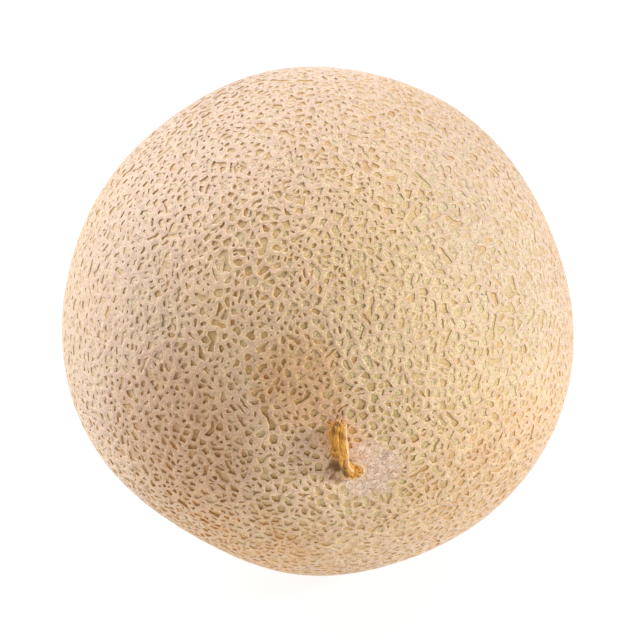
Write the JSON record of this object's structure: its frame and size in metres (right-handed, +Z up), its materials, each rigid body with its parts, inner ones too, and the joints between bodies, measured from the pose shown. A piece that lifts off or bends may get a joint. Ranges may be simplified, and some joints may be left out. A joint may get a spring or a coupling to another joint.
{
  "type": "cantaloupe melon",
  "caption": "Round netted cantaloupe melon lying on its side on a small flat spot, with the dried stub of its stem.",
  "frame": {"origin": "on the surface that the fruit rests on, under the middle of the object's box", "axes": "+Z up; the fruit's axis lies along Y, with the stem end towards -Y and the blossom end towards +Y"},
  "size_m": [0.15, 0.156, 0.1465],
  "materials": {
    "rind": "matte",
    "dry_stem": "matte"
  },
  "bodies": {
    "root": {"melon": "rind", "stem": "dry_stem"}
  },
  "joints": []
}
